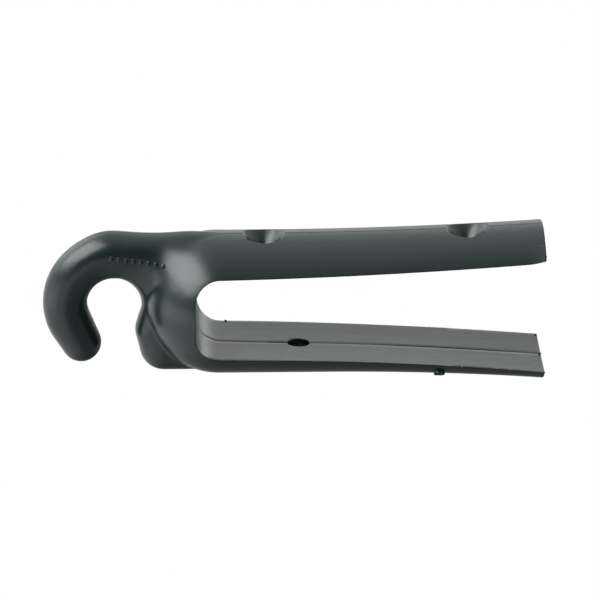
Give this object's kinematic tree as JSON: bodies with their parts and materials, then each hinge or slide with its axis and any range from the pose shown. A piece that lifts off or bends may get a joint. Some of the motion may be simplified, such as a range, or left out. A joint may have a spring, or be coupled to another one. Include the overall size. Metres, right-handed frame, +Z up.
{
  "type": "hook end fitting",
  "caption": "Moulded plastic end fitting for a round pole: an open hook, a domed shoulder and a splayed fork whose arms screw to the pole's tongue.",
  "frame": {"origin": "under the middle of the fitting, at the height of its lowest point, on the plane where the two halves meet", "axes": "+X from the hook to the arm tips, +Z up with the hook's mouth facing down, +Y across the fitting towards the rear half"},
  "size_m": [0.1334, 0.036, 0.0417],
  "materials": {
    "dark_plastic": "semi-gloss as moulded, dark grey-green"
  },
  "bodies": {
    "root": {"front_half": "dark_plastic", "rear_half": "dark_plastic"}
  },
  "joints": []
}
